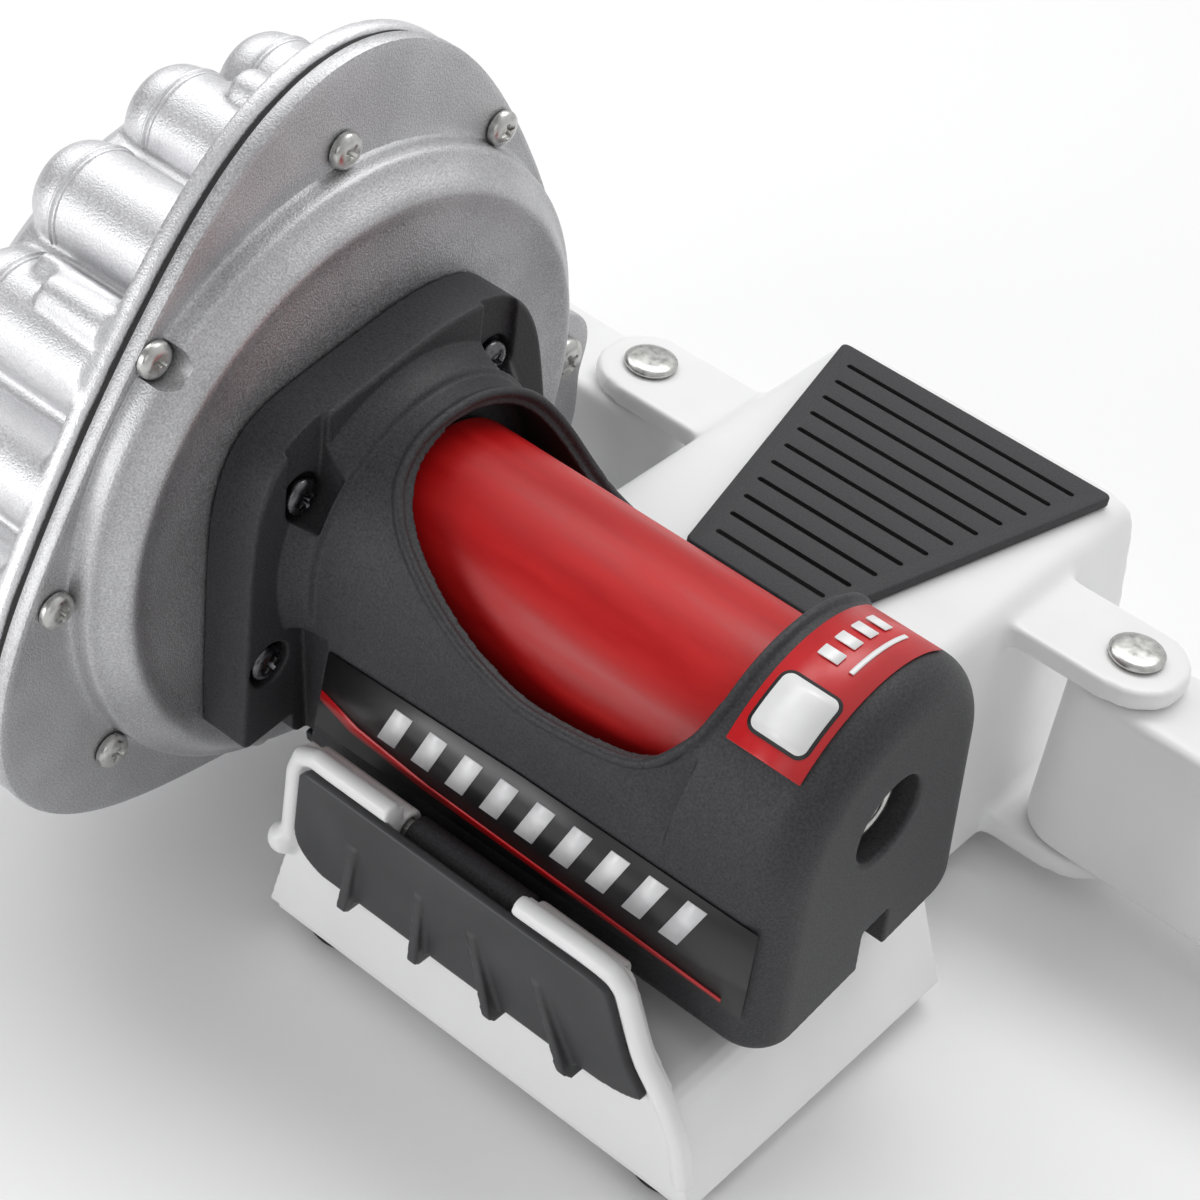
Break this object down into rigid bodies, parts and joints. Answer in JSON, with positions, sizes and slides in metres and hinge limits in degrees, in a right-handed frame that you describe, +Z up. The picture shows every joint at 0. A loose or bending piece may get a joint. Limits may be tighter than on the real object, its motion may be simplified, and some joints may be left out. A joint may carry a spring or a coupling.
{
  "type": "trainer resistance unit",
  "caption": "Roller resistance unit with a finned fluid chamber, hinged on the middle section of a folding white trainer stand with a ribbed tread pad.",
  "frame": {"origin": "centre of the bounding box at floor level", "axes": "+Z up, +X along the roller from the chamber to the free end, +Y from the hinge side to the tread pad"},
  "size_m": [0.328, 0.2208, 0.1716],
  "materials": {
    "cast_aluminium": "fine blasted casting",
    "gasket_rubber": "moulded rubber",
    "black_plastic": "fine spark-eroded texture",
    "red_elastomer": "satin elastomer with light wear",
    "zinc_steel": "bright zinc plate",
    "dark_steel": "dark chromate",
    "white_plastic": "smooth moulded white",
    "pad_rubber": "ribbed matt rubber",
    "black_film": "glossy printed film",
    "red_film": "glossy printed film"
  },
  "bodies": {
    "stand": {"deck_shell": "white_plastic", "hinge_pin": "zinc_steel", "apron_plate": "black_plastic", "tongue_shell": "white_plastic", "tread_pad": "pad_rubber", "bottom_plate": "white_plastic", "plate_screw_1": "zinc_steel", "plate_screw_2": "zinc_steel", "plate_screw_3": "zinc_steel", "plate_screw_4": "zinc_steel", "deck_foot_1": "gasket_rubber", "deck_foot_2": "gasket_rubber", "rest_buffer": "gasket_rubber", "left_leg_pin": "zinc_steel", "right_leg_pin": "zinc_steel"},
    "unit": {"chamber_cover": "cast_aluminium", "chamber_gasket": "gasket_rubber", "chamber_body": "cast_aluminium", "filler_plug": "zinc_steel", "chamber_screw_1": "zinc_steel", "chamber_screw_2": "zinc_steel", "chamber_screw_3": "zinc_steel", "chamber_screw_4": "zinc_steel", "chamber_screw_5": "zinc_steel", "chamber_screw_6": "zinc_steel", "chamber_screw_7": "zinc_steel", "ear_screw": "zinc_steel", "roller_housing": "black_plastic", "flange_screw_1": "dark_steel", "flange_screw_2": "dark_steel", "flange_screw_3": "dark_steel", "flange_screw_4": "dark_steel", "far_bearing_outer_ring": "zinc_steel", "far_bearing_balls": "dark_steel", "near_bearing_outer_ring": "zinc_steel", "near_bearing_balls": "dark_steel", "shaft_seal": "gasket_rubber", "retaining_ring": "dark_steel", "side_label": "black_film", "top_label": "red_film", "housing_bottom_cover": "black_plastic"},
    "rotor": {"shaft": "zinc_steel", "impeller": "cast_aluminium", "roller_core": "cast_aluminium", "roller_sleeve": "red_elastomer", "shaft_nut": "zinc_steel", "far_bearing_inner_ring": "zinc_steel", "near_bearing_inner_ring": "zinc_steel"},
    "left_leg": {"left_leg": "white_plastic", "left_leg_foot": "gasket_rubber"},
    "right_leg": {"right_leg": "white_plastic", "right_leg_foot": "gasket_rubber"}
  },
  "joints": [
    {"name": "unit_swing", "type": "hinge", "parent": "stand", "child": "unit", "pos_m": [0, -0.06013, 0.043], "axis": [1, 0, 0], "range_deg": [0, 12]},
    {"name": "roller_spin", "type": "hinge", "parent": "unit", "child": "rotor", "pos_m": [0, -0.02713, 0.082], "axis": [1, 0, 0], "continuous": true},
    {"name": "left_leg_fold", "type": "hinge", "parent": "stand", "child": "left_leg", "pos_m": [-0.064, 0.07187, 0.022], "axis": [0, 0, -1], "range_deg": [0, 80]},
    {"name": "right_leg_fold", "type": "hinge", "parent": "stand", "child": "right_leg", "pos_m": [0.064, 0.07187, 0.022], "axis": [0, 0, 1], "range_deg": [0, 80]}
  ]
}
